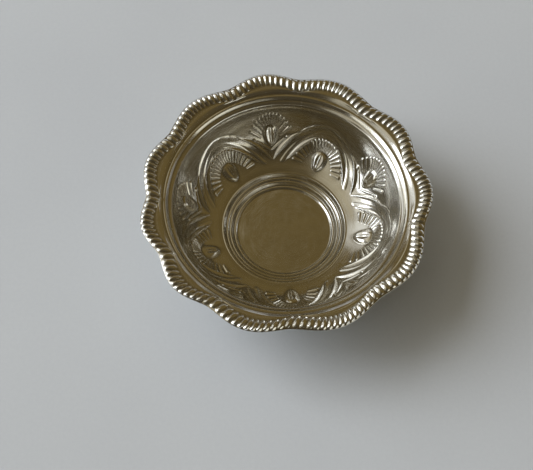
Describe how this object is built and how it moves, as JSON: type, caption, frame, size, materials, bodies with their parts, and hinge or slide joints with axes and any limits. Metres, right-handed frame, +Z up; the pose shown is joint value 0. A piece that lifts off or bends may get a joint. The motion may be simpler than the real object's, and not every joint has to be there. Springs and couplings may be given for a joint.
{
  "type": "offering bowl",
  "caption": "Small round pressed metal bowl with a lobed, gadrooned border, raised drops and arches on its wall, a stepped floor and a foot ring.",
  "frame": {"origin": "centre of the plane that the foot ring rests on", "axes": "+Z up along the bowl's axis, +X to the right and +Y away in the picture's view"},
  "size_m": [0.084, 0.0836, 0.027],
  "materials": {
    "silvered_sheet": "polished silver plate with a warm, uneven tarnish and light scratches",
    "silvered_foot": "turned silver plate, worn where it rests",
    "solder": "dull, slightly lumpy solder"
  },
  "bodies": {
    "root": {"bowl_shell": "silvered_sheet", "foot_ring": "silvered_foot", "foot_solder": "solder"}
  },
  "joints": []
}
